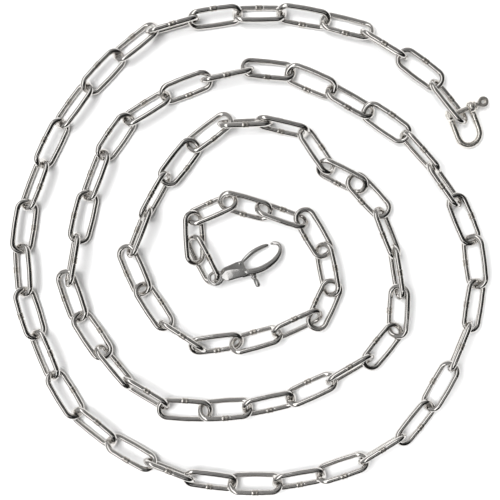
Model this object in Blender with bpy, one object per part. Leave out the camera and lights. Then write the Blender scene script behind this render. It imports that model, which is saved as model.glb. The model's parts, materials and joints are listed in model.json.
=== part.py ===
# A length of welded steel long-link chain laid flat in a spiral, with a bow
# shackle on its outer end and a snap hook on its inner end.
import math

import bmesh
import bpy
import numpy as np
from mathutils import Matrix, Vector

MM = 0.001

# chain
WIRE = 4.0
INNER_LENGTH = 32.6
OUTER_WIDTH = 17.4
WIRE_SIDES = 6
BEND_STEPS = 6
GAP = 0.58
LAP = -0.5
LINKS_IN_GROUP = 3

# shackle, in a frame with its pin axis as x and its bow pointing along y
SHACKLE_X = 150.8
SHACKLE_Y = 99.4
PIN_HEIGHT = 6.6
PIN_TURN = 23.0
PIN_DIAMETER = 4.0
PIN_TAIL = -10.3
BOW_WIRE = 4.3
BOW_HALF_WIDTH = 8.1
BOW_LENGTH = 25.35
EAR_CENTRE = 8.25
EAR_DIAMETER = 8.0
EAR_THICKNESS = 3.6
COLLAR_DIAMETER = 6.8
COLLAR_FROM = 10.7
COLLAR_TO = 12.1
NECK_DIAMETER = 3.4
HEAD_CENTRE = 17.7
HEAD_DIAMETER = 7.6
HEAD_THICKNESS = 3.0
HEAD_HOLE = 2.3
RUNNING_GAP = 0.3

# snap hook, in a frame with its eye at the origin and its nose end along x
HOOK_TURN = 19.5
HOOK_PITCH = 3.0
HOOK_ROLL = -25.0
EYE_BEND_ANGLE = 50.0
EYE_INSET = 0.9
EYE_RADIUS = 4.8
EYE_WIRE = 2.5
PIVOT_X = 19.5
PIVOT_Y = 3.5
PIVOT_DIAMETER = 2.0
PIVOT_LENGTH = 6.4
SLOT_WIDTH = 2.6
LEVER_THICKNESS = 2.0

BEND = (OUTER_WIDTH - WIRE) / 2
REACH = (INNER_LENGTH + WIRE) / 2
HALF_STRAIGHT = REACH - BEND

# where one link hooks into the next, from the shackle inwards (mm, x right and y up as seen from above)
HOOKS = [
    (151, 98.5), (134.5, 119.5), (109.5, 139), (83.5, 157), (54, 165), (24, 170.5), (-8.5, 170),
    (-40.5, 165.5), (-72, 158.5), (-95, 139.5), (-117.5, 116), (-135.5, 91.5), (-149, 62.5), (-160.5, 33),
    (-165, 2), (-163.5, -30), (-154, -60.5), (-142, -90), (-126, -118), (-101, -137.5), (-73.5, -152.5),
    (-44, -165), (-12, -168.5), (20, -168.5), (51, -162.5), (81.5, -152), (110, -137), (129.5, -112.5),
    (144.5, -85), (159, -54.5), (165.5, -24), (162, 6.5), (150.5, 34.5), (131, 61), (111, 85), (84, 101),
    (56, 116.5), (29, 129), (-2, 131), (-32.5, 122.5), (-60.5, 111.5), (-88, 95), (-106, 68.5),
    (-116.5, 39.5), (-124, 8), (-132.5, -21.5), (-124, -47), (-106.5, -72), (-88.5, -96.5),
    (-62.5, -114.5), (-32.5, -116), (-1.5, -114), (29.5, -107.5), (58.5, -93.5), (87, -79),
    (106.5, -58.5), (107.5, -31.5), (103.5, -0.5), (94.5, 28), (77, 49), (54, 58.5), (39, 85.5),
    (10, 92), (-18, 93), (-41, 76.5), (-60, 52.5), (-75.5, 25), (-88.5, -1.5), (-78, -27.5),
    (-61, -54), (-37.5, -70.5), (-10, -67), (19.5, -60), (48, -51), (60, -27.5), (53.5, 0), (38, 24),
    (9.5, 29), (-16, 36.4), (-42.3, 25.6), (-39.9, -2.4), (-26.6, -21.4),
]
# how far each link leans about its long axis, in degrees, positive with its outer side up
LEANS = [
    -55, 5, -82, -29, 49, -39, 47, -85, -37, 36, -39, 46, -42, 25, -35, 32, -40, 40, -39, 43,
    -85, -34, 37, -39, 47, -83, -31, 41, -85, -29, 34, -14, -60, 75, 14, -38, 25, -27, -76, 38,
    -42, 34, -44, 25, -69, -22, 29, 74, -60, -14, 34, -37, 40, -68, -20, 33, 79, -55, -8, 38,
    -44, 66, -71, -28, 16, 70, -66, -22, 35, -85, -38, 40, -50, -5, 41, -6, -51, 30, -40, 36, -45,
]


def link_axes(tail, head, lean):
    """Unit vectors along and across each link; the cross one rises with the lean."""
    along = head - tail
    along = along / np.linalg.norm(along, axis=1, keepdims=True)
    outward = np.stack([along[:, 1], -along[:, 0], np.zeros(len(along))], axis=1)
    outward /= np.linalg.norm(outward, axis=1, keepdims=True)
    upward = np.cross(outward, along)
    angle = np.radians(lean)[:, None]
    return along, outward * np.cos(angle) + upward * np.sin(angle)


def end_line():
    """Points on one end of a link's centreline, as distance back from the end and across."""
    angles = np.linspace(-math.pi / 2, math.pi / 2, BEND_STEPS + 1)
    back = [REACH, *(BEND - BEND * np.cos(angles)), REACH]
    across = [-BEND, *(BEND * np.sin(angles)), BEND]
    steps = np.linspace(0, len(back) - 1, 8 * (len(back) - 1) + 1)
    corners = np.arange(len(back))
    return np.interp(steps, corners, back), np.interp(steps, corners, across)


def end_points(apex, along, across, toward):
    """The end lines of many links in space; toward is 1 at the head and -1 at the tail."""
    back, side = end_line()
    return apex[:, None] - toward * back[None, :, None] * along[:, None] + side[None, :, None] * across[:, None]


def nearest(first, second):
    """For each pair of point sets, the two points that lie closest and their distance."""
    distance = np.linalg.norm(first[:, :, None] - second[:, None], axis=-1)
    flat = distance.reshape(len(distance), -1).argmin(axis=1)
    i, j = np.unravel_index(flat, distance.shape[1:])
    row = np.arange(len(distance))
    return first[row, i], second[row, j], distance[row, i, j]


def pin_line():
    """Points along the shackle pin between its ears."""
    turn = math.radians(PIN_TURN)
    step = np.linspace(-6, 6, 49)[:, None]
    return np.array([[SHACKLE_X, SHACKLE_Y, PIN_HEIGHT]]) + step * [math.cos(turn), math.sin(turn), 0]


def lay_chain(rounds=1500):
    """Middle, long axis and cross axis of each link: every link is drawn to its place and then
    touches its neighbours a little apart, as low as the floor and those neighbours allow."""
    hooks = np.array(HOOKS, float)
    lean = np.array(LEANS, float)
    count = len(lean)
    gaps = np.full(count - 1, WIRE + GAP)
    gaps[0::LINKS_IN_GROUP] = WIRE + LAP
    rise = BEND * np.abs(np.sin(np.radians(lean))) + WIRE / 2
    height = np.concatenate([rise[:1], np.maximum(rise[1:], rise[:-1]), rise[-1:]])
    places = np.column_stack([hooks, height])
    tail = places[:-1].copy()
    head = places[1:].copy()
    pin = pin_line()[None]
    for number in range(rounds):
        middle = (tail + head) / 2
        along, across = link_axes(tail, head, lean)
        tail = middle - REACH * along
        head = middle + REACH * along
        near, far, distance = nearest(end_points(head[:-1], along[:-1], across[:-1], 1),
                                      end_points(tail[1:], along[1:], across[1:], -1))
        push = (near - far) / distance[:, None] * (gaps - distance)[:, None] * 0.4
        pull = 0.04 * max(0.0, 1 - number / (0.6 * rounds))
        fall = 0.04 * max(0.0, 1 - number / (0.8 * rounds))
        aside = hooks[1:-1] - (head[:-1, :2] + tail[1:, :2]) / 2
        head[:-1] += push
        tail[1:] -= push
        head[:-1, :2] += pull * aside
        tail[1:, :2] += pull * aside
        near, far, distance = nearest(end_points(tail[:1], along[:1], across[:1], -1), pin)
        reach = (WIRE + PIN_DIAMETER) / 2 + GAP - distance
        tail[:1] += (near - far) / distance[:, None] * reach[:, None] * 0.6
        head[-1, :2] += pull * (hooks[-1] - head[-1, :2])
        head[:, 2] -= fall
        tail[:, 2] -= fall
        along, across = link_axes(tail, head, lean)
        least = BEND * np.abs(across[:, 2]) + WIRE / 2
        head[:, 2] = np.maximum(head[:, 2], least)
        tail[:, 2] = np.maximum(tail[:, 2], least)
    middle = (tail + head) / 2
    along, across = link_axes(tail, head, lean)
    return middle, along, across


# Blender objects start here


def clear_scene():
    for item in list(bpy.data.objects):
        bpy.data.objects.remove(item, do_unlink=True)


def metal(name, colour, roughness):
    material = bpy.data.materials.new(name)
    material.use_nodes = True
    shader = material.node_tree.nodes["Principled BSDF"]
    shader.inputs["Base Color"].default_value = (*colour, 1.0)
    shader.inputs["Metallic"].default_value = 1.0
    shader.inputs["Roughness"].default_value = roughness
    return material


def add_object(name, mesh, material):
    item = bpy.data.objects.new(name, mesh)
    bpy.context.scene.collection.objects.link(item)
    if material and not mesh.materials:
        mesh.materials.append(material)
    return item


def finish_mesh(name, shape):
    """Outward faces, smooth round sides, and the mesh made from it."""
    bmesh.ops.recalc_face_normals(shape, faces=shape.faces)
    mesh = bpy.data.meshes.new(name)
    shape.to_mesh(mesh)
    shape.free()
    mesh.shade_smooth()
    mesh.set_sharp_from_angle(angle=math.radians(50))
    return mesh


def ring_of(shape, centre, side, up, half_side, half_up, sides):
    """One closed ring of vertices, an ellipse about centre in the plane of side and up."""
    ring = []
    for number in range(sides):
        angle = math.tau * (number + 0.5) / sides
        point = centre + side * half_side * math.cos(angle) + up * half_up * math.sin(angle)
        ring.append(shape.verts.new(point * MM))
    return ring


def join_rings(shape, first, second):
    for number, vertex in enumerate(first):
        after = (number + 1) % len(first)
        shape.faces.new((vertex, first[after], second[after], second[number]))


def even_radius(sides):
    """Corner radius, as a share, of a polygon with the area of its circle."""
    return math.sqrt(math.tau / (sides * math.sin(math.tau / sides)))


def link_mesh(material):
    """A closed oval loop of round wire, along x and across y."""
    shape = bmesh.new()
    radius = WIRE / 2 * even_radius(WIRE_SIDES)
    rings = []
    for end in (1, -1):
        for step in range(BEND_STEPS + 1):
            angle = math.pi * (step / BEND_STEPS - 0.5)
            outward = Vector((end * math.cos(angle), end * math.sin(angle), 0))
            centre = Vector((end * HALF_STRAIGHT, 0, 0)) + outward * BEND
            stretch = 1.0 if step in (0, BEND_STEPS) else 1 / math.cos(math.pi / BEND_STEPS / 2)
            rings.append(ring_of(shape, centre, outward, Vector((0, 0, 1)), radius * stretch, radius, WIRE_SIDES))
    for number, ring in enumerate(rings):
        join_rings(shape, ring, rings[(number + 1) % len(rings)])
    mesh = finish_mesh("link", shape)
    mesh.materials.append(material)
    return mesh


def link_place(middle, along, across):
    x_axis = Vector(along)
    y_axis = Vector(across)
    z_axis = x_axis.cross(y_axis)
    turn = Matrix((x_axis, y_axis, z_axis)).transposed().to_4x4()
    return Matrix.Translation(Vector(middle) * MM) @ turn


def guide_of(item):
    """Hides a piece that only shapes another one."""
    item.hide_render = True
    item.display_type = "WIRE"


def combine(item, other, operation):
    step = item.modifiers.new(other.name, "BOOLEAN")
    step.operation = operation
    step.solver = "EXACT"
    step.object = other
    guide_of(other)


def make_chain(steel):
    """In each group of three links the first two are one solid and the third is its own."""
    mesh = link_mesh(steel)
    middle, along, across = lay_chain()
    for first in range(0, len(LEANS), LINKS_IN_GROUP):
        pair = add_object(f"links_{first + 1:02d}_{first + 2:02d}", mesh, steel)
        pair.matrix_world = link_place(middle[first], along[first], across[first])
        second = add_object(f"second_{first + 2:02d}", mesh, steel)
        second.matrix_world = link_place(middle[first + 1], along[first + 1], across[first + 1])
        combine(pair, second, "UNION")
        single = add_object(f"link_{first + 3:02d}", mesh, steel)
        single.matrix_world = link_place(middle[first + 2], along[first + 2], across[first + 2])
    return middle[-1], along[-1], across[-1]


def sweep(path, widths, heights, sides):
    """A closed bar along points in the xy plane, with an elliptical section and flat ends."""
    shape = bmesh.new()
    points = [Vector((*point, 0)) for point in path]
    rings = []
    for number, point in enumerate(points):
        before = points[max(number - 1, 0)]
        after = points[min(number + 1, len(points) - 1)]
        forward = (after - before).normalized()
        side = Vector((forward.y, -forward.x, 0))
        grow = even_radius(sides)
        rings.append(ring_of(shape, point, side, Vector((0, 0, 1)),
                             widths[number] / 2 * grow, heights[number] / 2 * grow, sides))
    for ring, following in zip(rings, rings[1:]):
        join_rings(shape, ring, following)
    shape.faces.new(rings[0])
    shape.faces.new(rings[-1])
    return shape


def cylinder(diameter, start, end, axis, centre, sides=20):
    """A round bar along x, y or z through centre, from start to end."""
    shape = bmesh.new()
    bmesh.ops.create_cone(shape, cap_ends=True, segments=sides, radius1=diameter / 2 * MM,
                          radius2=diameter / 2 * MM, depth=(end - start) * MM)
    turn = {"x": Matrix.Rotation(math.pi / 2, 4, "Y"), "y": Matrix.Rotation(math.pi / 2, 4, "X"),
            "z": Matrix.Identity(4)}[axis]
    step = {"x": Vector((1, 0, 0)), "y": Vector((0, 1, 0)), "z": Vector((0, 0, 1))}[axis]
    move = Matrix.Translation((Vector(centre) + step * (start + end) / 2) * MM)
    bmesh.ops.transform(shape, matrix=move @ turn, verts=shape.verts)
    return shape


def prism(outline, height):
    """An upright block with the outline given in the xy plane, centred on it."""
    shape = bmesh.new()
    base = [shape.verts.new(Vector((x, y, -height / 2)) * MM) for x, y in outline]
    face = shape.faces.new(base)
    grown = bmesh.ops.extrude_face_region(shape, geom=[face])
    top = [item for item in grown["geom"] if isinstance(item, bmesh.types.BMVert)]
    bmesh.ops.translate(shape, vec=Vector((0, 0, height * MM)), verts=top)
    return shape


def assemble(name, pieces, frame, material):
    """The first shape, with the others added or cut away in turn, placed in a frame."""
    base = None
    for number, (operation, shape) in enumerate(pieces):
        label = name if number == 0 else f"{name}_{number}"
        item = add_object(label, finish_mesh(label, shape), material)
        item.matrix_world = frame
        if base is None:
            base = item
        else:
            combine(base, item, operation)
    return base


def shackle_frame():
    tilt = math.asin((PIN_HEIGHT - BOW_WIRE / 2 - 0.05) / BOW_LENGTH)
    return (Matrix.Translation(Vector((SHACKLE_X, SHACKLE_Y, PIN_HEIGHT)) * MM)
            @ Matrix.Rotation(math.radians(PIN_TURN), 4, "Z")
            @ Matrix.Rotation(math.pi + tilt, 4, "X"))


def bow_path():
    """Down one leg, round the half circle of the bow and up the other leg."""
    radius = BOW_HALF_WIDTH
    start = BOW_LENGTH - radius
    leg = [(-EAR_CENTRE + 0.2, 2.4), (-EAR_CENTRE, 9.0)]
    arc = []
    for step in range(13):
        angle = math.pi * step / 12
        arc.append((-radius * math.cos(angle), start + radius * math.sin(angle)))
    return leg + arc + [(-x, y) for x, y in reversed(leg)]


def make_shackle(steel):
    frame = shackle_frame()
    path = bow_path()
    size = [BOW_WIRE] * len(path)
    half = EAR_THICKNESS / 2
    hole = PIN_DIAMETER + 2 * RUNNING_GAP
    pieces = [("UNION", sweep(path, size, size, 10))]
    for side in (-EAR_CENTRE, EAR_CENTRE):
        pieces.append(("UNION", cylinder(EAR_DIAMETER, side - half, side + half, "x", (0, 0, 0))))
    for side in (-EAR_CENTRE, EAR_CENTRE):
        pieces.append(("DIFFERENCE", cylinder(hole, side - 4, side + 4, "x", (0, 0, 0))))
    assemble("shackle_bow", pieces, frame, steel)
    pin = [
        ("UNION", cylinder(PIN_DIAMETER, PIN_TAIL, COLLAR_FROM + 0.4, "x", (0, 0, 0))),
        ("UNION", cylinder(COLLAR_DIAMETER, COLLAR_FROM, COLLAR_TO, "x", (0, 0, 0))),
        ("UNION", cylinder(NECK_DIAMETER, COLLAR_TO - 0.4, HEAD_CENTRE - 2, "x", (0, 0, 0))),
        ("UNION", cylinder(HEAD_DIAMETER, -HEAD_THICKNESS / 2, HEAD_THICKNESS / 2, "z", (HEAD_CENTRE, 0, 0))),
        ("DIFFERENCE", cylinder(HEAD_HOLE, -4, 4, "z", (HEAD_CENTRE, 0, 0))),
    ]
    flat = (Matrix.Translation(Vector((SHACKLE_X, SHACKLE_Y, PIN_HEIGHT)) * MM)
            @ Matrix.Rotation(math.radians(PIN_TURN), 4, "Z"))
    assemble("shackle_pin", pin, flat, steel)


def eye_ring():
    """The closed eye of the hook, a round ring."""
    shape = bmesh.new()
    rings = []
    for step in range(20):
        angle = math.tau * step / 20
        outward = Vector((math.cos(angle), math.sin(angle), 0))
        size = EYE_WIRE / 2 * even_radius(8)
        rings.append(ring_of(shape, outward * EYE_RADIUS, outward, Vector((0, 0, 1)), size, size, 8))
    for number, ring in enumerate(rings):
        join_rings(shape, ring, rings[(number + 1) % len(rings)])
    return shape


def hook_frame(middle, along, across):
    """The eye is threaded by the bend of the last link, on its raised side."""
    angle = math.radians(EYE_BEND_ANGLE)
    bend = BEND - EYE_INSET
    centre = (Vector(middle) + Vector(along) * (HALF_STRAIGHT + bend * math.sin(angle))
              - Vector(across) * bend * math.cos(angle))
    return (Matrix.Translation(centre * MM)
            @ Matrix.Rotation(math.radians(HOOK_TURN), 4, "Z")
            @ Matrix.Rotation(math.radians(HOOK_PITCH), 4, "Y")
            @ Matrix.Rotation(math.radians(HOOK_ROLL), 4, "X"))


def wedge():
    """The flared body between the eye and the loop, with chamfered edges."""
    stations = [(3.7, -1.7, 1.7, 1.2), (6.5, -3.6, 3.7, 1.9), (12.0, -4.3, 4.5, 2.6), (17.5, -5.3, 5.9, 3.0),
                (20.5, -6.2, 6.0, 3.0), (22.4, -6.4, 5.2, 2.8)]
    shape = bmesh.new()
    rings = []
    for x, low, high, half in stations:
        cut = 0.32 * half
        corners = [(low, half - 2 * cut), (low + 1.5 * cut, half), (high - 1.5 * cut, half), (high, half - 2 * cut),
                   (high, 2 * cut - half), (high - 1.5 * cut, -half), (low + 1.5 * cut, -half), (low, 2 * cut - half)]
        rings.append([shape.verts.new(Vector((x, y, z)) * MM) for y, z in corners])
    for ring, following in zip(rings, rings[1:]):
        join_rings(shape, ring, following)
    shape.faces.new(rings[0])
    shape.faces.new(rings[-1])
    return shape


def make_hook(steel, frame):
    spine = [(19.5, -1.8), (23, -4.0), (28, -4.9), (34, -4.6), (40, -2.9), (45.3, -0.3), (49.2, 3.1),
             (51.0, 6.4), (50.2, 9.2), (47.8, 10.7), (44.9, 11.0)]
    broad = [4.6, 4.8, 4.8, 4.8, 4.5, 3.9, 3.3, 2.9, 2.9, 2.8, 2.2]
    thick = [5.4, 5.6, 5.3, 4.5, 4.0, 3.8, 3.6, 3.4, 3.2, 3.0, 2.4]
    slot = [(16.9, 5.0), (16.9, 1.2), (18.6, -9.5), (29.2, -9.5), (25.2, -2.6), (25.2, 9.5), (19.0, 9.5)]
    hole = PIVOT_DIAMETER + 2 * RUNNING_GAP
    body = [
        ("UNION", eye_ring()),
        ("UNION", wedge()),
        ("UNION", sweep(spine, broad, thick, 8)),
        ("DIFFERENCE", prism(slot, SLOT_WIDTH)),
        ("DIFFERENCE", cylinder(hole, -5, 5, "z", (PIVOT_X, PIVOT_Y, 0), 16)),
    ]
    assemble("hook_body", body, frame, steel)
    place = frame @ Matrix.Translation(Vector((PIVOT_X, PIVOT_Y, 0)) * MM)
    arm = [(0, 0), (4.6, 3.0), (10.4, 5.4), (16.5, 6.7), (21.5, 7.2), (24.1, 7.3)]
    lever = [(0, 0), (3.4, -6.2), (5.6, -10.2), (6.2, -13.0), (6.7, -18.5), (6.8, -21.3)]
    gate = [
        ("UNION", cylinder(4.2, -LEVER_THICKNESS / 2, LEVER_THICKNESS / 2, "z", (0, 0, 0), 16)),
        ("UNION", sweep(arm, [2.6, 2.8, 3.0, 3.0, 2.8, 2.0], [1.9, 1.9, 2.8, 3.0, 2.8, 2.0], 8)),
        ("UNION", sweep(lever, [2.2, 2.2, 2.2, 2.6, 2.8, 1.8], [1.8, 1.8, 1.8, 2.6, 2.8, 1.8], 8)),
        ("DIFFERENCE", cylinder(hole, -5, 5, "z", (0, 0, 0), 16)),
    ]
    assemble("hook_gate", gate, place, steel)
    pin = cylinder(PIVOT_DIAMETER, -PIVOT_LENGTH / 2, PIVOT_LENGTH / 2, "z", (0, 0, 0), 16)
    assemble("hook_pin", [("UNION", pin)], place, steel)


def stand_on_origin():
    """Moves everything so that the middle of its base lies at the origin."""
    bpy.context.view_layer.update()
    graph = bpy.context.evaluated_depsgraph_get()
    corners = []
    for item in bpy.context.scene.objects:
        if item.hide_render:
            continue
        solid = item.evaluated_get(graph)
        mesh = solid.to_mesh()
        points = np.empty(3 * len(mesh.vertices))
        mesh.vertices.foreach_get("co", points)
        world = np.array(item.matrix_world)
        corners.append(points.reshape(-1, 3) @ world[:3, :3].T + world[:3, 3])
        solid.to_mesh_clear()
    points = np.vstack(corners)
    low = points.min(axis=0)
    high = points.max(axis=0)
    shift = Matrix.Translation((-(low[0] + high[0]) / 2, -(low[1] + high[1]) / 2, -low[2]))
    for item in bpy.context.scene.objects:
        item.matrix_world = shift @ item.matrix_world


def main():
    clear_scene()
    chain_steel = metal("chain_steel", (0.78, 0.78, 0.77), 0.16)
    shackle_steel = metal("shackle_steel", (0.78, 0.76, 0.71), 0.28)
    hook_steel = metal("hook_steel", (0.76, 0.76, 0.76), 0.24)
    middle, along, across = make_chain(chain_steel)
    make_shackle(shackle_steel)
    make_hook(hook_steel, hook_frame(middle, along, across))
    stand_on_origin()


main()
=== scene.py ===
import json
import math
import bpy
import numpy as np
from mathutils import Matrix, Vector


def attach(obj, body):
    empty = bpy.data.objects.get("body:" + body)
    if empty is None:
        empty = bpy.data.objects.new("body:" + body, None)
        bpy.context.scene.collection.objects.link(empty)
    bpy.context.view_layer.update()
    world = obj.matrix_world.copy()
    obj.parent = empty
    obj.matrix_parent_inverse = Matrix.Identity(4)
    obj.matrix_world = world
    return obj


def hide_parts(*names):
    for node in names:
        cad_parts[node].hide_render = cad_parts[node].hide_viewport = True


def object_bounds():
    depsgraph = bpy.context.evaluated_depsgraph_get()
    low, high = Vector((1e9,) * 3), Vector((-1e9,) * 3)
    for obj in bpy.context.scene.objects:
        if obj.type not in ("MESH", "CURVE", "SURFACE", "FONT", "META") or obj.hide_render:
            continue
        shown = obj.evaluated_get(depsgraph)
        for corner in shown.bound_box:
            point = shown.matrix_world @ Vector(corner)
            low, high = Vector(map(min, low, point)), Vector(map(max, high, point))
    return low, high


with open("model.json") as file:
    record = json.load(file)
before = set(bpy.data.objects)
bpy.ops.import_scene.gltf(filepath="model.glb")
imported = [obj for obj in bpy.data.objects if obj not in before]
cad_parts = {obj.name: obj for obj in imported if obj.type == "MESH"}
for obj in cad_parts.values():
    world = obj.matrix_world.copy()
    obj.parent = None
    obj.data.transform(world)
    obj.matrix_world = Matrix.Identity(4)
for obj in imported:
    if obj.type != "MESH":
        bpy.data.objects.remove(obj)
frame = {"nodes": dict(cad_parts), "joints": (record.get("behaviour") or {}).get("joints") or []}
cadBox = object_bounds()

mm = 0.001
inset = 0.02             # how far every piece stays inside the frame's own box
boxLow, boxHigh = np.array(cadBox[0]) / mm + inset, np.array(cadBox[1]) / mm - inset
print("cad box", [[round(v, 4) for v in corner] for corner in cadBox])


def unit(vectors):
    # each row divided by its length
    return vectors / np.linalg.norm(vectors, axis=-1, keepdims=True)


def turnAbout(axis, degrees):
    # rotation matrix about the x, y or z axis
    c, s = math.cos(math.radians(degrees)), math.sin(math.radians(degrees))
    return np.array({"x": [[1, 0, 0], [0, c, -s], [0, s, c]], "y": [[c, 0, s], [0, 1, 0], [-s, 0, c]],
                     "z": [[c, -s, 0], [s, c, 0], [0, 0, 1]]}[axis])


def ringAngles(count):
    return np.linspace(0, math.tau, count, endpoint=False)


def blunt(values, power):
    # a circle's cosine or sine made that of a squarer oval: sign(v) * |v|^(2/power), a circle still when power is 2
    return np.sign(values) * np.abs(values) ** (2 / power)


def hump(distance, half, power=2):
    # exp(-(distance/half)^power): 1 at distance 0, about a third at half, and flatter on top for a higher power
    return np.exp(-(distance / half) ** power)


def gridFaces(rows, columns, loopRows):
    # quads between neighbouring rings of points numbered row by row; with loopRows the last ring joins the first
    r = np.arange(rows if loopRows else rows - 1)[:, None]
    c = np.arange(columns)[None, :]
    here, after, beside = r * columns, (r + 1) % rows * columns, (c + 1) % columns
    return np.stack([here + c, here + beside, after + beside, after + c], axis=-1).reshape(-1, 4)


def capFaces(ring, pole, flip):
    # triangles from a closed ring of vertex numbers to one middle vertex
    following = np.roll(ring, -1)
    middle = np.full(len(ring), pole)
    return np.stack([following, ring, middle] if flip else [ring, following, middle], axis=-1)


def signedVolume(vertices, quads, triangles):
    # a sixth of the sum over all triangles of a . (b x c), which is negative for a shell turned inside out
    corners = np.vstack([quads[:, [0, 1, 2]], quads[:, [0, 2, 3]], triangles])
    a, b, c = (vertices[corners[:, k]] for k in range(3))
    return np.sum(a * np.cross(b, c)) / 6


def surface(points, loopRows=False):
    # rings of points as a closed shell of (vertices, quads, triangles); the ends of an open tube get a fan each
    rows, columns = points.shape[:2]
    vertices = points.reshape(-1, 3)
    quads = gridFaces(rows, columns, loopRows)
    triangles = np.empty((0, 3), int)
    if not loopRows:
        vertices = np.vstack([vertices, points[0].mean(axis=0), points[-1].mean(axis=0)])
        first, last = np.arange(columns), (rows - 1) * columns + np.arange(columns)
        triangles = np.vstack([capFaces(first, rows * columns, True), capFaces(last, rows * columns + 1, False)])
    # its faces are turned to look outwards
    if signedVolume(vertices, quads, triangles) < 0:
        quads, triangles = quads[:, ::-1], triangles[:, ::-1]
    return vertices, quads, triangles


def tube(line, halfSide, halfUp, around, power=2.0, closed=False):
    # an oval section carried along a line of (x, y) points in the z = 0 plane
    path = np.column_stack([line, np.zeros(len(line))])
    step = np.roll(path, -1, axis=0) - np.roll(path, 1, axis=0) if closed else np.gradient(path, axis=0)
    up = np.tile([0.0, 0.0, 1.0], (len(path), 1))
    side = np.cross(unit(step), up)
    t = ringAngles(around)
    a, b = np.broadcast_to(halfSide, len(path)), np.broadcast_to(halfUp, len(path))
    across, high = a[:, None] * blunt(np.cos(t), power), b[:, None] * blunt(np.sin(t), power)
    return path[:, None] + side[:, None] * across[:, :, None] + up[:, None] * high[:, :, None]


def smoothCurve(points, count):
    # a Catmull-Rom curve through given points, evenly stepped in its parameter
    p = np.array(points, float)
    p = np.vstack([2 * p[0] - p[1], p, 2 * p[-1] - p[-2]])
    u = np.linspace(0, len(p) - 3, count)
    k = np.minimum(u.astype(int), len(p) - 4)
    t = (u - k)[:, None]
    a, b, c, d = p[k], p[k + 1], p[k + 2], p[k + 3]
    return 0.5 * (2 * b + (c - a) * t + (2 * a - 5 * b + 4 * c - d) * t ** 2 + (3 * b - 3 * c + d - a) * t ** 3)


def barShell(stations, count, around, power):
    # a tapering bar through given stations of (x, y, half breadth, half thickness)
    line = smoothCurve(stations, count)
    return surface(tube(line[:, :2], line[:, 2], line[:, 3], around, power))


def turned(x, radius, around):
    # rings about the x axis, with one radius for each ring or one for each of its points
    t = ringAngles(around)
    return np.stack([np.repeat(x[:, None], around, axis=1), radius * np.cos(t), radius * np.sin(t)], axis=-1)


def lathe(profile, around=48):
    # a profile of (distance along x, radius) turned about the x axis
    p = np.array(profile, float)
    return turned(p[:, 0], p[:, 1:], around)


def upright(points):
    # a shape turned about the x axis, stood on its end
    return points[..., [1, 2, 0]]


def makeObject(name, shells, place):
    # one object from several closed shells, turned and shifted by place = (rotation, shift)
    vertices, quads, triangles, base = [], [], [], 0
    for shellPoints, shellQuads, shellTriangles in shells:
        vertices.append(shellPoints)
        quads.append(shellQuads + base)
        triangles.append(shellTriangles + base)
        base += len(shellPoints)
    points = np.clip(np.vstack(vertices) @ place[0].T + place[1], boxLow, boxHigh)
    quads, triangles = np.vstack(quads), np.vstack(triangles)
    mesh = bpy.data.meshes.new(name)
    mesh.vertices.add(len(points))
    mesh.vertices.foreach_set("co", (points * mm).ravel())
    corners = np.concatenate([quads.ravel(), triangles.ravel()])
    mesh.loops.add(len(corners))
    mesh.loops.foreach_set("vertex_index", corners)
    mesh.polygons.add(len(quads) + len(triangles))
    starts = np.concatenate([np.arange(len(quads)) * 4, quads.size + np.arange(len(triangles)) * 3])
    mesh.polygons.foreach_set("loop_start", starts)
    mesh.update(calc_edges=True)
    mesh.validate()
    mesh.shade_smooth()
    item = bpy.data.objects.new(name, mesh)
    bpy.context.scene.collection.objects.link(item)
    return item


def applyModifiers(item):
    # what the modifiers make becomes the object's own mesh
    bpy.context.view_layer.update()
    mesh = bpy.data.meshes.new_from_object(item.evaluated_get(bpy.context.evaluated_depsgraph_get()))
    old = item.data
    item.modifiers.clear()
    item.data = mesh
    bpy.data.meshes.remove(old)
    mesh.name = item.name


def fuse(item, cell, passes):
    # melts the shells of an object into one skin of small cells, then rounds it like a cast and tumbled part
    melt = item.modifiers.new("melt", "REMESH")
    melt.mode = "VOXEL"
    melt.voxel_size = cell * mm
    melt.use_smooth_shade = True
    soft = item.modifiers.new("soft", "SMOOTH")
    soft.factor = 0.5
    soft.iterations = passes
    applyModifiers(item)
    item.data.shade_smooth()


def setOnVertices(item, name, values):
    # a number or a vector for each vertex that a material can read
    isVector = values.ndim == 2
    layer = item.data.attributes.new(name, "FLOAT_VECTOR" if isVector else "FLOAT", "POINT")
    layer.data.foreach_set("vector" if isVector else "value", values.astype(np.float32).ravel())


def newFinish(name, metallic):
    material = bpy.data.materials.new(name)
    material.use_nodes = True
    tree = material.node_tree
    shader = tree.nodes["Principled BSDF"]
    shader.inputs["Metallic"].default_value = metallic
    return material, tree, shader


def node(tree, kind, links=None, **settings):
    # a node with its settings, and its inputs given as numbers or as other nodes' outputs
    item = tree.nodes.new("ShaderNode" + kind)
    for key, value in settings.items():
        setattr(item, key, value)
    for key, value in (links or {}).items():
        if isinstance(value, bpy.types.NodeSocket):
            tree.links.new(value, item.inputs[key])
        else:
            item.inputs[key].default_value = value
    return item


def arithmetic(tree, operation, *values, clamp=False):
    return node(tree, "Math", dict(enumerate(values)), operation=operation, use_clamp=clamp).outputs[0]


def noise(tree, where, scale, detail, roughness):
    return node(tree, "TexNoise", {"Vector": where, "Scale": scale, "Detail": detail,
                                   "Roughness": roughness}).outputs["Fac"]


def vertexValue(tree, name, output="Fac"):
    return node(tree, "Attribute", attribute_name=name).outputs[output]


def stretched(tree, source, low, high, fromLow=0.0, fromHigh=1.0):
    # source stretched from its own range to low..high, and held there outside it
    return node(tree, "MapRange", {"Value": source, "From Min": fromLow, "From Max": fromHigh,
                                   "To Min": low, "To Max": high}).outputs["Result"]


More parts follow.
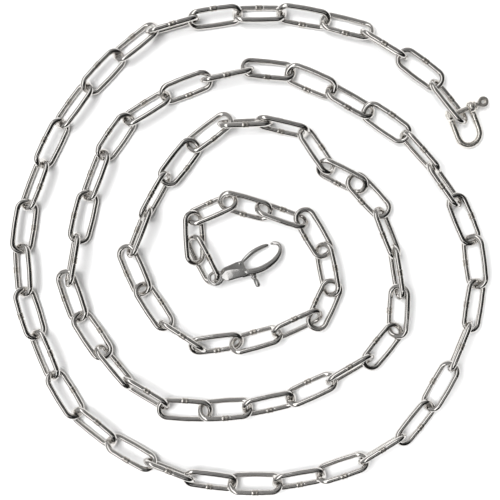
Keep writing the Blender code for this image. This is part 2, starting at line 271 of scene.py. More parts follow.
def blendColour(tree, share, first, second):
    # first where share is 0 and second where it is 1; a plain colour is red, green and blue
    a, b = (c if isinstance(c, bpy.types.NodeSocket) else (*c, 1.0) for c in (first, second))
    return node(tree, "Mix", {"Factor": share, 6: a, 7: b}, data_type="RGBA").outputs[2]


def relief(tree, height, strength, depth, under=None):
    # a bump of this depth in millimetres, laid over another one
    links = {"Height": height, "Strength": strength, "Distance": depth * mm}
    if under is not None:
        links["Normal"] = under
    return node(tree, "Bump", links).outputs["Normal"]


wireFinish = {
    "metallic": 1.0, "bright": (0.72, 0.70, 0.675), "dull": (0.53, 0.51, 0.485), "weldTint": (0.50, 0.46, 0.41),
    "smooth": 0.06, "hazy": 0.13, "weldRoughness": 0.16, "rubbedRoughness": 0.05,
    # patterns: scale, detail and roughness
    "lines": (1500.0, 4.0, 0.6), "clouds": (55.0, 5.0, 0.62), "specks": (2600.0, 3.0, 0.7),
    # the stretch of each pattern that counts
    "lineRange": (0.40, 0.75), "cloudRange": (0.42, 0.72), "speckRange": (0.35, 0.65), "leastBurnt": 0.3,
    # reliefs: strength and depth
    "lineRelief": (0.5, 0.003), "pitRelief": (0.5, 0.0012), "spatterRelief": (0.8, 0.05),
}


def makeChainSteel():
    # drawn and tumbled bright wire: fine lines along it, cloudy polish, dull rings at the weld
    f = wireFinish
    material, tree, shader = newFinish("chainSteel", f["metallic"])
    where = node(tree, "TexCoord").outputs["Object"]
    weld = vertexValue(tree, "weldMark")
    lines = noise(tree, vertexValue(tree, "wirePlace", "Vector"), *f["lines"])
    clouds = noise(tree, where, *f["clouds"])
    specks = noise(tree, where, *f["specks"])
    haze = stretched(tree, clouds, 0.0, 1.0, *f["cloudRange"])
    streak = stretched(tree, lines, 0.0, 1.0, *f["lineRange"])
    dulling = arithmetic(tree, "MULTIPLY", haze, streak)
    steel = blendColour(tree, dulling, f["bright"], f["dull"])
    burnt = arithmetic(tree, "MULTIPLY", weld, stretched(tree, specks, f["leastBurnt"], 1.0, *f["speckRange"]))
    tree.links.new(blendColour(tree, burnt, steel, f["weldTint"]), shader.inputs["Base Color"])
    roughness = stretched(tree, dulling, f["smooth"], f["hazy"])
    roughness = arithmetic(tree, "MULTIPLY_ADD", burnt, f["weldRoughness"], roughness)
    roughness = arithmetic(tree, "MULTIPLY_ADD", vertexValue(tree, "rubbed"), f["rubbedRoughness"], roughness)
    tree.links.new(roughness, shader.inputs["Roughness"])
    drawn = relief(tree, lines, *f["lineRelief"])
    pitted = relief(tree, specks, *f["pitRelief"], drawn)
    spatter = relief(tree, arithmetic(tree, "MULTIPLY", weld, specks), *f["spatterRelief"], pitted)
    tree.links.new(spatter, shader.inputs["Normal"])
    return material


castFinish = {
    "shackleSteel": {"metallic": 0.96, "bright": (0.93, 0.90, 0.85), "dull": (0.60, 0.56, 0.50),
                     "smooth": 0.13, "hazy": 0.27, "peel": 420.0, "peelDepth": 0.012, "clouds": 150.0},
    "hookSteel": {"metallic": 1.0, "bright": (0.64, 0.63, 0.615), "dull": (0.42, 0.41, 0.40),
                  "smooth": 0.08, "hazy": 0.22, "peel": 300.0, "peelDepth": 0.018, "clouds": 110.0},
}
# what both cast finishes share
castPattern = {
    "cloudDetail": (6.0, 0.6), "peelDetail": (3.0, 0.5), "grain": (4200.0, 2.0, 0.5), "scratch": (1.0, 2.0, 0.5),
    "scratchTurn": (0.3, 0.2, 0.6), "scratchScale": (300.0, 4000.0, 900.0), "scratchRange": (0.5, 0.75),
    # edgeRange and the hollow share set the painted shade that darkens the hollows
    "scratchRoughness": 0.12, "edgeRange": (0.44, 0.52), "hollowShadeShare": 0.85, "cloudRange": (0.42, 0.70),
    "cloudShare": 0.55, "peelStrength": 0.6, "grainRelief": (0.35, 0.008), "scratchRelief": (0.4, 0.008),
}


def makeCastSteel(name):
    # cast and tumbled steel: painted shade darkens its hollows while its edges stay bright, a little orange peel and
    # fine scratches
    f, p = castFinish[name], castPattern
    material, tree, shader = newFinish(name, f["metallic"])
    where = node(tree, "TexCoord").outputs["Object"]
    edge = node(tree, "NewGeometry").outputs["Pointiness"]
    clouds = noise(tree, where, f["clouds"], *p["cloudDetail"])
    peel = noise(tree, where, f["peel"], *p["peelDetail"])
    grain = noise(tree, where, *p["grain"])
    slanted = node(tree, "Mapping", {"Vector": where, "Rotation": p["scratchTurn"], "Scale": p["scratchScale"]})
    scratch = noise(tree, slanted.outputs["Vector"], *p["scratch"])
    # painted shade: the colour turns towards the dull one where the surface curves inwards
    hollowShade = stretched(tree, edge, p["hollowShadeShare"], 0.0, *p["edgeRange"])
    haze = stretched(tree, clouds, 0.0, p["cloudShare"], *p["cloudRange"])
    # dulling is the painted hollow shade plus random cloudy dull patches
    dulling = arithmetic(tree, "ADD", hollowShade, haze, clamp=True)
    tree.links.new(blendColour(tree, dulling, f["bright"], f["dull"]), shader.inputs["Base Color"])
    roughness = arithmetic(tree, "MULTIPLY_ADD", stretched(tree, scratch, 0.0, 1.0, *p["scratchRange"]),
                           p["scratchRoughness"], stretched(tree, dulling, f["smooth"], f["hazy"]))
    tree.links.new(roughness, shader.inputs["Roughness"])
    skin = relief(tree, peel, p["peelStrength"], f["peelDepth"])
    dust = relief(tree, grain, *p["grainRelief"], skin)
    tree.links.new(relief(tree, scratch, *p["scratchRelief"], dust), shader.inputs["Normal"])
    return material


chainSteel = makeChainSteel()
shackleSteel = makeCastSteel("shackleSteel")
hookSteel = makeCastSteel("hookSteel")
print("finishes made")


chain = {
    "wire": 4.0, "innerLength": 32.6, "outerWidth": 17.4, "contact": 0.03, "floorGap": 0.02,
    "endPower": 2.12,         # 2 is a half circle, more is blunter
    "bow": 0.28,              # how far the long sides bulge outwards
    "around": 24, "perBend": 22, "perSide": 26, "evenShare": 0.35, "packPower": 2.2,
    # the weld: a swelling with a dip across its middle, and at each end of it a collar and a groove
    "weldHalf": 1.75, "weldLift": 0.10, "swellShare": 0.8, "dipDepth": 0.10, "dipHalf": 0.5, "collarLift": 0.26,
    "collarHalf": 0.36, "grooveDepth": 0.26, "grooveOffset": 0.8, "grooveHalf": 0.4, "markHalf": 2.3,
    "weldShift": 0.35, "weldShiftStep": 5.1, "sideSlack": 0.01,
    "weldOutside": (1, 2, 6, 7, 9, 10, 11, 12, 15, 16, 20, 22, 23, 24, 25, 27, 32, 34, 35, 41, 42, 43, 44, 46, 51, 52,
                    57, 61, 66, 67, 68, 71, 75, 77, 79),
    # unevenness of the wire: height, waves along it and a shift for each link
    "wobble": [(0.012, 0.9, 1), (0.010, 2.3, 2)],
    "lineStretch": 0.03, "lineShift": 9.7,
    # how the plain link is fitted to the frame: its sides and steps there, and how near a corner has to be
    "cadSides": 6, "cadSteps": 6, "fitLimits": np.linspace(5.0, 0.6, 40),
    "endPoints": 33, "endSides": [9, 6, 3], "touchRounds": 60, "touchShare": 0.3,
    # where one link hooks into the next, from the shackle inwards, and how far each leans about its length
    "hooks": [
        (151, 98.5), (134.5, 119.5), (109.5, 139), (83.5, 157), (54, 165), (24, 170.5), (-8.5, 170),
        (-40.5, 165.5), (-72, 158.5), (-95, 139.5), (-117.5, 116), (-135.5, 91.5), (-149, 62.5), (-160.5, 33),
        (-165, 2), (-163.5, -30), (-154, -60.5), (-142, -90), (-126, -118), (-101, -137.5), (-73.5, -152.5),
        (-44, -165), (-12, -168.5), (20, -168.5), (51, -162.5), (81.5, -152), (110, -137), (129.5, -112.5),
        (144.5, -85), (159, -54.5), (165.5, -24), (162, 6.5), (150.5, 34.5), (131, 61), (111, 85), (84, 101),
        (56, 116.5), (29, 129), (-2, 131), (-32.5, 122.5), (-60.5, 111.5), (-88, 95), (-106, 68.5),
        (-116.5, 39.5), (-124, 8), (-132.5, -21.5), (-124, -47), (-106.5, -72), (-88.5, -96.5),
        (-62.5, -114.5), (-32.5, -116), (-1.5, -114), (29.5, -107.5), (58.5, -93.5), (87, -79),
        (106.5, -58.5), (107.5, -31.5), (103.5, -0.5), (94.5, 28), (77, 49), (54, 58.5), (39, 85.5),
        (10, 92), (-18, 93), (-41, 76.5), (-60, 52.5), (-75.5, 25), (-88.5, -1.5), (-78, -27.5),
        (-61, -54), (-37.5, -70.5), (-10, -67), (19.5, -60), (48, -51), (60, -27.5), (53.5, 0), (38, 24),
        (9.5, 29), (-16, 36.4), (-42.3, 25.6), (-39.9, -2.4), (-26.6, -21.4),
    ],
    "leans": [
        -55, 5, -82, -29, 49, -39, 47, -85, -37, 36, -39, 46, -42, 25, -35, 32, -40, 40, -39, 43,
        -85, -34, 37, -39, 47, -83, -31, 41, -85, -29, 34, -14, -60, 75, 14, -38, 25, -27, -76, 38,
        -42, 34, -44, 25, -69, -22, 29, 74, -60, -14, 34, -37, 40, -68, -20, 33, 79, -55, -8, 38,
        -44, 66, -71, -28, 16, 70, -66, -22, 35, -85, -38, 40, -50, -5, 41, -6, -51, 30, -40, 36, -45,
    ],
}
chain["bend"] = (chain["outerWidth"] - chain["wire"]) / 2
chain["reach"] = (chain["innerLength"] + chain["wire"]) / 2
linkCount = len(chain["leans"])


def nodeOfLink(number):
    # links 1 and 2 of every three are one node, the third is its own
    first = (number - 1) // 3 * 3 + 1
    return f"link_{number:02d}" if number == first + 2 else f"links_{first:02d}_{first + 1:02d}"


def cadLinkCorners():
    # the corners of a link of the frame in its own axes: rings of points at every step round each half circle
    sides, steps = chain["cadSides"], chain["cadSteps"]
    radius = chain["wire"] / 2 * math.sqrt(math.tau / (sides * math.sin(math.tau / sides)))
    step = np.arange(steps + 1)
    a = math.pi * (step / steps - 0.5)
    stretch = np.where((step == 0) | (step == steps), 1.0, 1 / math.cos(math.pi / steps / 2))
    b = math.tau * (np.arange(sides) + 0.5) / sides
    out = chain["bend"] + radius * stretch[:, None] * np.cos(b)
    x = chain["reach"] - chain["bend"] + out * np.cos(a)[:, None]
    y = out * np.sin(a)[:, None]
    z = np.broadcast_to(radius * np.sin(b), x.shape)
    one = np.stack([x, y, z], axis=-1).reshape(-1, 3)
    return np.vstack([one, one * [-1, -1, 1]])


def firstAxes(tail, head, lean):
    # along the link, across it with its outer side raised by the lean, and square to both
    along = unit(head - tail)
    outward = unit(np.array([along[1], -along[0], 0.0]))
    across = outward * math.cos(math.radians(lean)) + np.cross(outward, along) * math.sin(math.radians(lean))
    return np.array([along, across, np.cross(along, across)])


def placeOfLink(number, corners):
    # slides and turns the plain link onto the frame's own corners: nearest corners, then the best rigid turn, repeated
    target = np.array([v.co for v in frame["nodes"][nodeOfLink(number)].data.vertices]) / mm
    lean = chain["leans"][number - 1]
    height = chain["bend"] * abs(math.sin(math.radians(lean))) + chain["wire"] / 2
    tail = np.array([*chain["hooks"][number - 1], height])
    head = np.array([*chain["hooks"][number], height])
    middle, axes = (tail + head) / 2, firstAxes(tail, head, lean)
    for limit in chain["fitLimits"]:
        local = (target - middle) @ axes.T
        distance = np.linalg.norm(local[:, None] - corners[None], axis=-1)
        nearest = distance.argmin(axis=1)
        close = distance.min(axis=1) < limit
        a, b = corners[nearest[close]], target[close]
        u, _, v = np.linalg.svd((a - a.mean(axis=0)).T @ (b - b.mean(axis=0)))
        turn = v.T @ np.diag([1, 1, np.sign(np.linalg.det(v.T @ u.T))]) @ u.T
        middle, axes = b.mean(axis=0) - turn @ a.mean(axis=0), turn.T
    return middle, axes, distance.min(axis=1)[close].max(), close.sum()


corners = cadLinkCorners()
placed = [placeOfLink(k + 1, corners) for k in range(linkCount)]
middle = np.array([p[0] for p in placed])
axes = np.array([p[1] for p in placed])
print("links placed, worst miss", round(max(p[2] for p in placed), 3), "mm, fewest corners", min(p[3] for p in placed))


def bendCurve(a):
    # the end of a link, forwards and sideways, for angles from -90 to 90 degrees
    return blunt(np.cos(a), chain["endPower"]), blunt(np.sin(a), chain["endPower"])


def endCurve(apex, axes, toward):
    # the middle line of one end of each link: half a circle and a short way up both sides
    sides = chain["endSides"]
    a = np.linspace(-math.pi / 2, math.pi / 2, chain["endPoints"])
    forth, aside = bendCurve(a)
    back = chain["bend"] + np.concatenate([sides, -chain["bend"] * forth, sides[::-1]])
    side = chain["bend"] * np.concatenate([[-1] * len(sides), aside, [1] * len(sides)])
    return apex[:, None] - toward * back[None, :, None] * axes[:, None, 0] + side[None, :, None] * axes[:, None, 1]


def letTouch(middle, axes):
    # moves the ends of the links by tenths of a millimetre until each just touches the next
    tail, head = middle - chain["reach"] * axes[:, 0], middle + chain["reach"] * axes[:, 0]
    normal = axes[:, 2]
    row = np.arange(linkCount - 1)
    for _ in range(chain["touchRounds"]):
        along = unit(head - tail)
        across = unit(np.cross(normal, along))
        now = np.stack([along, across, np.cross(along, across)], axis=1)
        near, far = endCurve(head[:-1], now[:-1], 1), endCurve(tail[1:], now[1:], -1)
        distance = np.linalg.norm(near[:, :, None] - far[:, None], axis=-1).reshape(linkCount - 1, -1)
        pick = distance.argmin(axis=1)
        i, j = np.unravel_index(pick, (near.shape[1], far.shape[1]))
        gap = distance[row, pick][:, None]
        push = (near[row, i] - far[row, j]) / gap * (chain["wire"] + chain["contact"] - gap) * chain["touchShare"]
        head[:-1] += push
        tail[1:] -= push
        least = chain["bend"] * np.abs(now[:, 1, 2]) + chain["wire"] / 2 + chain["floorGap"]
        head[:, 2], tail[:, 2] = np.maximum(head[:, 2], least), np.maximum(tail[:, 2], least)
    return tail, head, now, gap.ravel() - chain["wire"]


before = middle.copy()
tail, head, axes, gaps = letTouch(middle, axes)
middle = (tail + head) / 2
length = np.linalg.norm(head - tail, axis=1)
moved = np.abs(middle - before).max()
print("links touch, gaps", round(gaps.min(), 3), round(gaps.max(), 3), "moved at most", round(moved, 2))


def linkSurface(number, span):
    # oval loop of wire whose middle line runs round two half circles and two slightly bowed sides
    c = chain
    half, bend = span / 2 - c["bend"], c["bend"]
    a = np.linspace(-math.pi / 2, math.pi / 2, c["perBend"], endpoint=False)
    s = np.linspace(1, -1, c["perSide"], endpoint=False)
    # sides are packed tighter near their middle, where the weld is
    s = np.sign(s) * (c["evenShare"] * np.abs(s) + (1 - c["evenShare"]) * np.abs(s) ** c["packPower"])
    bulge = c["bow"] * (1 - s ** 2) ** 2
    forth, aside = bendCurve(a)
    x = np.concatenate([half + bend * forth, half * s, -half - bend * forth, -half * s])
    y = np.concatenate([bend * aside, bend + bulge, -bend * aside, -bend - bulge])
    line = np.column_stack([x, y])
    # distance from the weld along its own side, and without end anywhere else
    welded = y * (1 if number in c["weldOutside"] else -1) > bend - c["sideSlack"]
    fromWeld = np.where(welded, np.abs(x + c["weldShift"] * math.sin(c["weldShiftStep"] * number)), np.inf)
    swell = c["weldLift"] * hump(fromWeld, c["weldHalf"] * c["swellShare"], 4)
    dip = c["dipDepth"] * hump(fromWeld, c["dipHalf"])
    collar = c["collarLift"] * hump(fromWeld - c["weldHalf"], c["collarHalf"])
    groove = c["grooveDepth"] * hump(fromWeld - c["weldHalf"] - c["grooveOffset"], c["grooveHalf"])
    wobble = sum(lift * np.sin(x * waves + shift * number) for lift, waves, shift in c["wobble"])
    radius = c["wire"] / 2 + (swell - dip) + collar - groove + wobble
    travel = np.concatenate([[0], np.cumsum(np.linalg.norm(np.diff(line, axis=0), axis=1))])
    rubbed = np.clip((np.abs(x) - half) / bend, 0, 1)
    return tube(line, radius, radius, c["around"], closed=True), travel, hump(fromWeld, c["markHalf"], 6), rubbed


def makeLinks():
    t = ringAngles(chain["around"])
    for k in range(linkCount):
        number = k + 1
        points, travel, mark, rubbed = linkSurface(number, length[k])
        link = makeObject(f"chainLink{number:02d}", [surface(points, loopRows=True)], (axes[k].T, middle[k]))
        # where the pattern of drawn lines is read, in far shorter steps along the wire than round it
        across, high = (np.tile(chain["wire"] / 2 * v, (len(travel), 1)) for v in (np.cos(t), np.sin(t)))
        along = np.repeat(travel[:, None] * chain["lineStretch"] + number * chain["lineShift"], len(t), axis=1)
        setOnVertices(link, "wirePlace", np.stack([across, high, along], axis=-1).reshape(-1, 3) * mm)
        setOnVertices(link, "weldMark", np.repeat(mark, len(t)))
        setOnVertices(link, "rubbed", np.repeat(rubbed, len(t)))
        link.data.materials.append(chainSteel)
        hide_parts(nodeOfLink(number))
        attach(link, "root")


makeLinks()
print("links made")


shackle = {
    "turn": 23.0, "bowWire": 4.5, "halfWidth": 8.1, "length": 25.35, "floorGap": 0.25, "legStart": 2.7, "legGap": 1.0,
    "legPoints": 16, "arcPoints": 40, "bowAround": 28,
    "earCentre": 8.25, "earDiameter": 9.0, "earThickness": 4.4, "earRounding": 1.7, "hole": 4.6, "holeChamfer": 0.35,
    "roundingPoints": 8,
    # where the bar runs into its ears it is thinner across and thicker upwards
    "blendPlace": 2.4, "blendHalf": 2.6, "blendAcross": -0.15, "blendUp": 0.55,
    "pinDiameter": 4.0, "pinTail": -10.25, "tipLength": 0.7, "tipDepth": 0.5,
    "threadEnd": -6.0, "threadPitch": 0.7, "threadDepth": 0.28, "threadRings": 120, "threadAround": 48,
    "collarFrom": 10.7, "collarTo": 12.1, "collarDiameter": 6.8, "neckDiameter": 3.4,
    "headCentre": 17.7, "headDiameter": 8.0, "headThickness": 2.7, "headHole": 2.3, "headPoint": 0.26,
    "headPoints": 72, "headAround": 28,
    # size of the cells that melt the shells together, and rounds of smoothing
    "bowMelt": (0.26, 5), "pinMelt": (0.18, 3),
}


def jointPlace(name):
    # where a joint of the frame is, in millimetres
    return np.array(next(j for j in frame["joints"] if j["name"] == name)["pos_m"], float) / mm


def earShell(centre):
    # an eye of the bow: a rounded rim profile turned about the pin's axis, closed through its hole
    s = shackle
    half, outer, inner = s["earThickness"] / 2, s["earDiameter"] / 2, s["hole"] / 2
    r, cut = s["earRounding"], s["holeChamfer"]
    a = np.linspace(0, math.pi / 2, s["roundingPoints"])
    profile = np.vstack([
        np.column_stack([half - r + r * np.sin(a[::-1]), outer - r + r * np.cos(a[::-1])]),
        np.column_stack([-half + r - r * np.sin(a), outer - r + r * np.cos(a)]),
        [[-half, inner + cut], [-half + cut, inner], [0.0, inner], [half - cut, inner], [half, inner + cut]],
    ])
    profile[:, 0] += centre
    return surface(lathe(profile), loopRows=True)


def bowShell():
    # round bar down one leg, round the bow and up the other
    s = shackle
    start, radius, bar = s["length"] - s["halfWidth"], s["halfWidth"], s["bowWire"] / 2
    a = np.linspace(math.pi, 0, s["arcPoints"])
    down = np.linspace(s["legStart"], start - s["legGap"], s["legPoints"])
    leg = np.column_stack([np.full(len(down), -s["earCentre"]), down])
    arc = np.column_stack([radius * np.cos(a), start + radius * np.sin(a)])
    line = np.vstack([leg, arc, (leg * [-1, 1])[::-1]])
    nearEar = hump(line[:, 1] - s["blendPlace"], s["blendHalf"])
    return surface(tube(line, bar + s["blendAcross"] * nearEar, bar + s["blendUp"] * nearEar, s["bowAround"]))


def makeBow(centre):
    # lies from the pin's height down to the floor at its far end
    s = shackle
    tilt = math.degrees(math.asin((centre[2] - s["bowWire"] / 2 - s["floorGap"]) / s["length"]))
    bow = makeObject("shackleBow", [bowShell(), earShell(-s["earCentre"]), earShell(s["earCentre"])],
                     (turnAbout("z", s["turn"]) @ turnAbout("x", 180 + tilt), centre))
    fuse(bow, *s["bowMelt"])
    bow.data.materials.append(shackleSteel)
    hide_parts("shackle_bow")
    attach(bow, "root")


def shankShell():
    # plain shank, collar against the ear, then the waist that runs into the head
    s = shackle
    r, collar, neck = s["pinDiameter"] / 2, s["collarDiameter"] / 2, s["neckDiameter"] / 2
    start, near, far, head = s["threadEnd"], s["collarFrom"], s["collarTo"], s["headCentre"]
    return surface(lathe([(start - 0.4, r - s["threadDepth"]), (start, r), (near - 0.5, r), (near, r + 0.1),
                          (near + 0.05, collar - 0.4), (near + 0.35, collar), (far - 0.35, collar),
                          (far + 0.1, collar - 0.5), (far + 0.5, neck + 0.3), (far + 1.2, neck),
                          (head - 3.2, neck), (head - 2.4, neck - 0.5)]))


def threadShell():
    # the radius falls by a triangle wave that runs round the pin as it goes along it, one pitch a turn
    s = shackle
    x = np.linspace(s["pinTail"], s["threadEnd"], s["threadRings"])
    turns = x[:, None] / s["threadPitch"] + ringAngles(s["threadAround"])[None] / math.tau
    wave = np.abs(2 * np.mod(turns, 1.0) - 1)
    full = np.clip((x - s["pinTail"]) / s["tipLength"], 0, 1)[:, None]
    radius = s["pinDiameter"] / 2 - s["threadDepth"] * wave - s["tipDepth"] * (1 - full)
    return surface(turned(x, radius, s["threadAround"]))


def headShell():
    # a flat ring whose outline is a circle drawn out to a soft point where it meets the waist
    s = shackle
    a, b = ringAngles(s["headPoints"]), ringAngles(s["headAround"])
    outer = s["headDiameter"] / 2 * (1 + s["headPoint"] * np.clip(-np.cos(a), 0, 1) ** 6)
    inner = s["headHole"] / 2
    radial = ((outer + inner) / 2)[:, None] + ((outer - inner) / 2)[:, None] * blunt(np.cos(b), 4)
    x, y = s["headCentre"] + radial * np.cos(a)[:, None], radial * np.sin(a)[:, None]
    z = np.tile(s["headThickness"] / 2 * blunt(np.sin(b), 4), (len(a), 1))
    return surface(np.stack([x, y, z], axis=-1), loopRows=True)


def makePin(centre):
    place = (turnAbout("z", shackle["turn"]), centre)
    pin = makeObject("shacklePin", [shankShell(), headShell()], place)
    fuse(pin, *shackle["pinMelt"])
    thread = makeObject("shacklePinThread", [threadShell()], place)
    for item in (pin, thread):
        item.data.materials.append(shackleSteel)
        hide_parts("shackle_pin")
        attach(item, "shackle_screw_pin")


makeBow(jointPlace("shackle_pin_turn"))
makePin(jointPlace("shackle_pin_turn"))
print("shackle made")


hook = {
    "turn": 19.5, "pitch": 3.0, "roll": -25.0, "eyeRadius": 4.8, "eyeWire": 2.5, "eyePoints": 72, "eyeAround": 24,
    "pivot": (19.5, 3.5),
    # stations of (x, y, half breadth, half thickness), from the hook's eye or, for arm and lever, from the pivot
    "spine": [(19.0, -1.6, 2.6, 2.7), (23, -4.1, 2.6, 2.8), (28, -5.3, 2.6, 2.7), (34, -5.2, 2.55, 2.4),
              (40, -3.8, 2.35, 2.2), (45.3, -1.4, 2.1, 2.0), (49.3, 2.2, 1.8, 1.85), (51.0, 5.9, 1.5, 1.75),
              (50.4, 9.0, 1.45, 1.65), (48.0, 10.8, 1.4, 1.5), (45.3, 11.2, 0.9, 1.15)],
    "arm": [(1.45, 0.95, 1.2, 0.95), (4.6, 3.1, 1.6, 0.95), (10.4, 5.75, 1.85, 1.5), (16.5, 7.15, 1.85, 1.6),
            (21.5, 7.5, 1.65, 1.45), (24.0, 7.35, 0.9, 0.95)],
    "lever": [(0.85, -1.55, 1.0, 0.9), (3.4, -6.2, 1.1, 0.9), (5.6, -10.2, 1.15, 0.95), (6.0, -11.5, 1.3, 1.2),
              (6.15, -12.4, 2.15, 1.9), (6.25, -13.3, 2.1, 1.85), (6.4, -14.3, 1.45, 1.4), (6.6, -16.4, 1.85, 1.8),
              (6.75, -19.0, 1.95, 1.85), (6.8, -20.4, 1.5, 1.4), (6.8, -21.0, 0.6, 0.6)],
    # their sections: steps along, points round and power of the oval
    "spineSection": (90, 32, 2.2), "armSection": (60, 24, 2.3), "leverSection": (60, 24, 2.2),
    # body between eye and loop: (x, low edge, ridge, high edge, half thickness at the ridge)
    "wedge": [(3.6, -2.0, 0.0, 2.0, 1.25), (5.4, -4.4, 0.4, 4.4, 1.8), (7.8, -5.6, 1.6, 5.6, 2.5),
              (12.0, -6.0, 1.0, 5.9, 3.0), (17.5, -6.4, -1.2, 6.4, 3.2), (20.5, -6.7, -2.6, 6.2, 3.1),
              (22.4, -6.7, -3.3, 5.3, 2.9)],
    "rimShare": 0.30, "shoulderShare": 0.58, "chamferShare": 0.22, "wedgeSteps": 60,
    "slot": [(16.9, 5.0), (16.9, 1.2), (18.6, -9.5), (29.2, -9.5), (25.2, -2.6), (25.2, 9.5), (19.0, 9.5)],
    "slotHalf": 1.3,
    # profiles of (height, radius): the gate's knuckle, and how the rivet's end goes on from its shank
    "knuckle": [(-0.95, 1.4), (-0.95, 1.9), (-0.8, 2.1), (0.8, 2.1), (0.95, 1.9), (0.95, 1.4)],
    "rivetEnd": [(0.02, 0.25), (-0.06, 0.7), (-0.22, 1.0)], "rivetHalf": 3.2, "rivetAround": 32,
    # size of the cells that melt the shells together, and rounds of smoothing
    "bodyMelt": (0.28, 1), "slotMelt": (0.22, 3), "gateMelt": (0.2, 4),
}
hookTurn = turnAbout("z", hook["turn"]) @ turnAbout("y", hook["pitch"]) @ turnAbout("x", hook["roll"])
pivotPlace = jointPlace("hook_gate_hinge")
bodyPlace = (hookTurn, pivotPlace - hookTurn @ np.array([*hook["pivot"], 0]))
gatePlace = (hookTurn, pivotPlace)


def eyeShell():
    # round ring in the xy plane
    a, bar = ringAngles(hook["eyePoints"]), hook["eyeWire"] / 2
    line = np.column_stack([np.cos(a), np.sin(a)]) * hook["eyeRadius"]
    return surface(tube(line, bar, bar, hook["eyeAround"], closed=True), loopRows=True)


def wedgeShell():
    # ten-cornered section: thin edges, then a chamfer, then a flat face rising to a ridge on either side
    w = np.array(hook["wedge"], float)
    x = np.linspace(w[0, 0], w[-1, 0], hook["wedgeSteps"])
    low, ridge, high, half = (np.interp(x, w[:, 0], w[:, k]) for k in (1, 2, 3, 4))
    rim, shoulder, cut = (hook[name] * half for name in ("rimShare", "shoulderShare", "chamferShare"))
    upper = [(low, rim), (low + cut, shoulder), (ridge, half), (high - cut, shoulder), (high, rim)]
    y = np.stack([v for v, _ in upper] + [v for v, _ in upper[::-1]], axis=1)
    z = np.stack([h for _, h in upper] + [-h for _, h in upper[::-1]], axis=1)
    return surface(np.stack([np.repeat(x[:, None], y.shape[1], axis=1), y, z], axis=-1))


def cutSlot(item):
    # the fork for the gate's knuckle is cut straight through the body, before the edges are rounded
    outline = np.array(hook["slot"])
    points = [np.column_stack([outline, np.full(len(outline), z)]) for z in (-hook["slotHalf"], hook["slotHalf"])]
    cutter = makeObject("slotCutter", [surface(np.stack(points))], bodyPlace)
    step = item.modifiers.new("slot", "BOOLEAN")
    step.operation = "DIFFERENCE"
    step.solver = "EXACT"
    step.object = cutter
    applyModifiers(item)
    bpy.data.objects.remove(cutter)


def makeBody():
    spine = barShell(hook["spine"], *hook["spineSection"])
    body = makeObject("hookBody", [eyeShell(), wedgeShell(), spine], bodyPlace)
    fuse(body, *hook["bodyMelt"])
    cutSlot(body)
    fuse(body, *hook["slotMelt"])
    body.data.materials.append(hookSteel)
    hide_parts("hook_body")
    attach(body, "root")


def makeGate():
    knuckle = surface(upright(lathe(hook["knuckle"])), loopRows=True)
    arm = barShell(hook["arm"], *hook["armSection"])
    lever = barShell(hook["lever"], *hook["leverSection"])
    gate = makeObject("hookGate", [knuckle, arm, lever], gatePlace)
    fuse(gate, *hook["gateMelt"])
    gate.data.materials.append(hookSteel)
    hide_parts("hook_gate")
    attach(gate, "gate")


def makeRivet():
    # plain shank with low domed ends
    end, half = hook["rivetEnd"], hook["rivetHalf"]
    profile = [(-half - h, r) for h, r in end] + [(half + h, r) for h, r in end[::-1]]
    rivet = lathe(profile, hook["rivetAround"])
    pivot = makeObject("hookPivot", [surface(upright(rivet))], gatePlace)
    pivot.data.materials.append(hookSteel)
    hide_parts("hook_pin")
    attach(pivot, "root")


makeBody()
makeGate()
makeRivet()
print("hook made")


studio = {
    # sizes and places here are metres, and the sensor is millimetres
    "floorSize": 30.0, "floorColour": (0.90, 0.90, 0.90), "floorRoughness": 0.9, "floorShine": 0.1, "backdrop": 1.0,
    "roomLight": 0.37, "roomDark": 0.02, "lightSide": (-0.75, 0.65), "sideRange": (-0.38, 0.40),
    "roomLow": 0.70, "heightRange": (0.1, 0.6),
    "keyPlace": (-0.66, 0.20, 2.0), "keyAngle": 40.0, "keyStrength": 3.25,
    "stripPlace": (-1.0, 0.0, 1.8), "stripSize": (5.2, 0.80), "stripPower": 19.0,
    "lowStripPlace": (0.10, -0.85, 1.75), "lowStripSize": (2.4, 0.36), "lowStripPower": 1.7,
    # the photograph's middle in the frame, how wide it shows the chain, and how high the chain is there
    "pictureMiddle": (0.0005664, -0.0009935), "pictureWidth": 0.360, "chainLevel": 0.0045,
    "eyeHeight": 0.650, "sensor": 36.0, "nearest": 0.01,
}


def makeFloor():
    half = studio["floorSize"] / 2
    mesh = bpy.data.meshes.new("floor")
    mesh.from_pydata([(-half, -half, 0), (half, -half, 0), (half, half, 0), (-half, half, 0)], [], [(0, 1, 2, 3)])
    floor = bpy.data.objects.new("floor", mesh)
    bpy.context.scene.collection.objects.link(floor)
    material, _, shader = newFinish("floorPaper", 0.0)
    shader.inputs["Base Color"].default_value = (*studio["floorColour"], 1.0)
    shader.inputs["Roughness"].default_value = studio["floorRoughness"]
    shader.inputs["Specular IOR Level"].default_value = studio["floorShine"]
    mesh.materials.append(material)


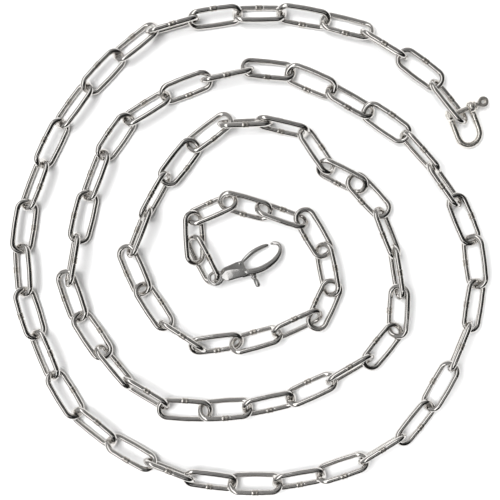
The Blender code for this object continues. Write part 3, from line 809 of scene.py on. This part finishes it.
def makeRoom():
    # light towards its far left corner and dark towards the near right one, and dimmer low down
    world = bpy.data.worlds.new("room")
    bpy.context.scene.world = world
    world.use_nodes = True
    tree = world.node_tree
    way = node(tree, "SeparateXYZ", {"Vector": node(tree, "TexCoord").outputs["Generated"]}).outputs
    across = arithmetic(tree, "MULTIPLY", way["Y"], studio["lightSide"][1])
    across = arithmetic(tree, "MULTIPLY_ADD", way["X"], studio["lightSide"][0], across)
    sideways = stretched(tree, across, studio["roomDark"], studio["roomLight"], *studio["sideRange"])
    height = stretched(tree, way["Z"], studio["roomLow"], 1.0, *studio["heightRange"])
    tone = arithmetic(tree, "MULTIPLY", sideways, height)
    # a pale backdrop stands behind the floor wherever the horizon comes into view; it lights nothing
    seen = node(tree, "LightPath").outputs["Is Camera Ray"]
    shown = node(tree, "Mix", {"Factor": seen, "A": tone, "B": studio["backdrop"]}, data_type="FLOAT")
    tree.links.new(shown.outputs["Result"], tree.nodes["Background"].inputs["Color"])


def addLight(name, kind, place, energy):
    # a lamp that points at the middle of the floor
    lamp = bpy.data.lights.new(name, kind)
    lamp.energy = energy
    item = bpy.data.objects.new(name, lamp)
    bpy.context.scene.collection.objects.link(item)
    item.location = place
    item.rotation_euler = (Vector((0, 0, 0)) - item.location).to_track_quat("-Z", "Y").to_euler()
    return item


def makeLights():
    # the key lights the floor and throws the shadows; the long strips are what the wires mirror
    key = addLight("keyLight", "SUN", studio["keyPlace"], studio["keyStrength"])
    key.data.angle = math.radians(studio["keyAngle"])
    key.visible_glossy = False
    for name in ("strip", "lowStrip"):
        strip = addLight(name + "Panel", "AREA", studio[name + "Place"], studio[name + "Power"])
        strip.data.shape = "RECTANGLE"
        strip.data.size, strip.data.size_y = studio[name + "Size"]


def makeCamera():
    # straight above, looking down; lens is to sensor as the chain's distance is to the width shown
    camera = bpy.data.cameras.new("camera")
    camera.sensor_width = studio["sensor"]
    camera.lens = studio["sensor"] * (studio["eyeHeight"] - studio["chainLevel"]) / studio["pictureWidth"]
    camera.clip_start = studio["nearest"]
    eye = bpy.data.objects.new("camera", camera)
    bpy.context.scene.collection.objects.link(eye)
    eye.location = (*studio["pictureMiddle"], studio["eyeHeight"])
    eye.rotation_euler = (0, 0, 0)
    bpy.context.scene.camera = eye


makeFloor()
makeRoom()
makeLights()
makeCamera()
bpy.context.scene.view_settings.view_transform = "Standard"
print("studio made")
